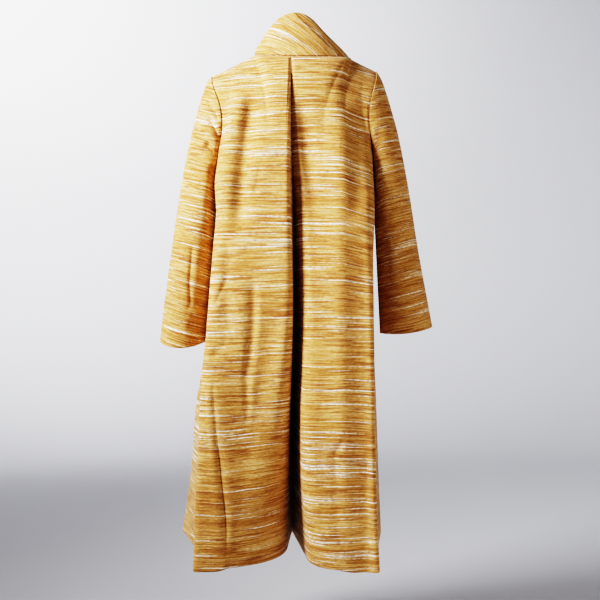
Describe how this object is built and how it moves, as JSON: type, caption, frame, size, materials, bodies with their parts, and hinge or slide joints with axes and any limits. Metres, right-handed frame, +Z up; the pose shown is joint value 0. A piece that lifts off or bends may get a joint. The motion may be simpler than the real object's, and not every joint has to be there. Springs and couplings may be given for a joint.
{
  "type": "long coat",
  "caption": "Hollow long swing coat as worn, with set-in sleeves, a wrapped stand collar and a deep open fold down the centre back.",
  "frame": {"origin": "inside the neck opening at the height of the nape, where the wearer's neck and shoulders carry the coat", "axes": "+Z up along the wearer's spine; -Y the way the back of the coat faces; +X towards the wearer's right"},
  "size_m": [0.659, 0.4194, 1.2674],
  "materials": {
    "back_left_cloth": "matt, coarse hand-woven cloth with slubs",
    "back_right_cloth": "matt, coarse hand-woven cloth with slubs",
    "front_left_cloth": "matt, coarse hand-woven cloth with slubs",
    "front_right_cloth": "matt, coarse hand-woven cloth with slubs",
    "sleeve_left_cloth": "matt, coarse hand-woven cloth with slubs",
    "sleeve_right_cloth": "matt, coarse hand-woven cloth with slubs",
    "collar_inner_cloth": "matt, coarse hand-woven cloth with slubs",
    "collar_wrap_cloth": "matt, coarse hand-woven cloth with slubs"
  },
  "bodies": {
    "root": {"back_left": "back_left_cloth", "back_right": "back_right_cloth", "front_left": "front_left_cloth", "front_right": "front_right_cloth", "sleeve_left": "sleeve_left_cloth", "sleeve_right": "sleeve_right_cloth", "collar_inner": "collar_inner_cloth", "collar_wrap": "collar_wrap_cloth"}
  },
  "joints": []
}
